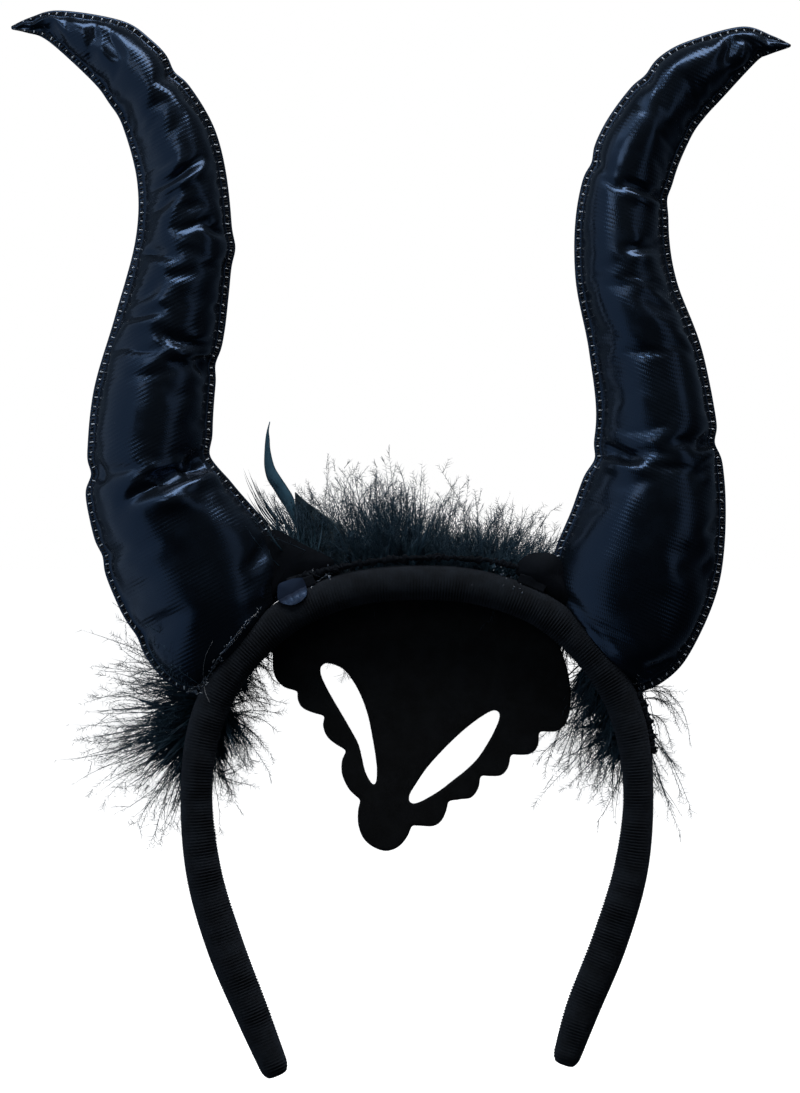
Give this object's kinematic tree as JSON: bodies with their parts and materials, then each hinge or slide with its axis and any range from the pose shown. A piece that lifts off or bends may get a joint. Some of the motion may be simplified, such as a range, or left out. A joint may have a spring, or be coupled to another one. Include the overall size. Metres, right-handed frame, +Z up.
{
  "type": "devil horns headband",
  "caption": "Headband with tall stuffed patent-vinyl devil horns, a scalloped felt half mask under the arch and a marabou boa along its front.",
  "frame": {"origin": "inner face of the band at its crown, where the band sits on the head", "axes": "+Z up along the horns, +Y to the wearer's front, +X to the right when seen from the back of the head"},
  "size_m": [0.2186, 0.053, 0.2992],
  "materials": {
    "velour": "matte ribbed velour wrap, near black",
    "patent_vinyl": "glossy patent vinyl with fine ribbed grain, blue-black",
    "felt": "flat black felt",
    "marabou": "soft marabou down, blue-black with a teal tint",
    "stiff_feather": "smooth stiff feather, dark teal"
  },
  "bodies": {
    "root": {"headband": "velour", "horn_left": "patent_vinyl", "horn_right": "patent_vinyl", "horn_tab_left": "patent_vinyl", "horn_tab_right": "patent_vinyl", "mask": "felt", "boa_left": "marabou", "boa_crown": "marabou", "boa_right": "marabou", "spear_feather": "stiff_feather", "blade_feather": "stiff_feather"}
  },
  "joints": []
}
